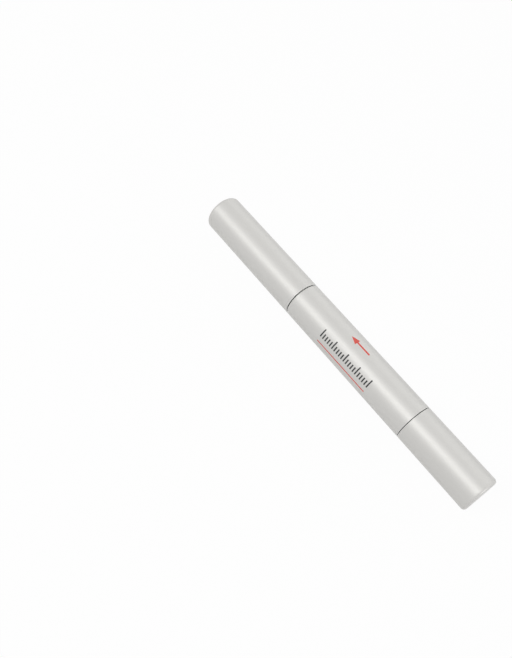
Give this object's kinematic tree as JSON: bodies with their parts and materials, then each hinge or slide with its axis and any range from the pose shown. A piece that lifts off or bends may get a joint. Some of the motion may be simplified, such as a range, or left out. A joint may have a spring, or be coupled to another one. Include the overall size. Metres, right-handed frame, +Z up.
{
  "type": "twist-up gel applicator pen",
  "caption": "Slim satin white twist pen for tooth gel: a pull-off cap over a soft brush, and a turning knob that feeds gel from the barrel with a screw and piston.",
  "frame": {"origin": "on the surface that the pen lies on, under the middle of its length", "axes": "X along the pen, with the knob's closed end towards +X and the cap's closed end towards -X; +Z up"},
  "size_m": [0.116, 0.012, 0.012],
  "materials": {
    "pearl_shell": "satin pearl-white lacquer on drawn aluminium",
    "white_plastic": "moulded white polypropylene",
    "natural_plastic": "natural, slightly see-through polypropylene",
    "acetal_white": "satin acetal",
    "grey_plastic": "moulded grey plastic",
    "soft_seal": "soft elastomer",
    "nylon_bristle": "fine nylon filament"
  },
  "bodies": {
    "barrel": {"barrel_sleeve": "pearl_shell", "reservoir_tube": "natural_plastic", "tail_housing": "grey_plastic", "ratchet_ring": "acetal_white", "screw_nut": "acetal_white", "neck": "white_plastic", "neck_seal_ring": "soft_seal", "feed_plug": "natural_plastic", "feed_tube": "natural_plastic", "brush_ferrule": "natural_plastic", "brush_bristles": "nylon_bristle"},
    "cap": {"cap_shell": "pearl_shell", "cap_liner": "white_plastic", "cap_seal": "soft_seal"},
    "knob": {"knob_shell": "pearl_shell", "knob_core": "white_plastic", "drive_sleeve": "acetal_white", "pawl_ring": "acetal_white"},
    "piston": {"piston": "soft_seal"},
    "screw": {"lead_screw": "white_plastic"}
  },
  "joints": [
    {"name": "cap_pull", "type": "slide", "parent": "barrel", "child": "cap", "axis": [-1, 0, 0], "range_m": [0, 0.04]},
    {"name": "knob_turn", "type": "hinge", "parent": "barrel", "child": "knob", "pos_m": [0, 0, 0.00599], "axis": [-1, 0, 0], "range_deg": [0, 4320], "deforming": ["pawl_ring"]},
    {"name": "piston_feed", "type": "slide", "parent": "barrel", "child": "piston", "axis": [-1, 0, 0], "range_m": [0, 0.024]},
    {"name": "screw_feed", "type": "slide", "parent": "knob", "child": "screw", "axis": [-1, 0, 0], "range_m": [0, 0.024]}
  ],
  "couplings": [
    {"joint": "piston_feed", "follows": "knob_turn", "m_per_rad": 0.0003183},
    {"joint": "screw_feed", "follows": "knob_turn", "m_per_rad": 0.0003183}
  ]
}
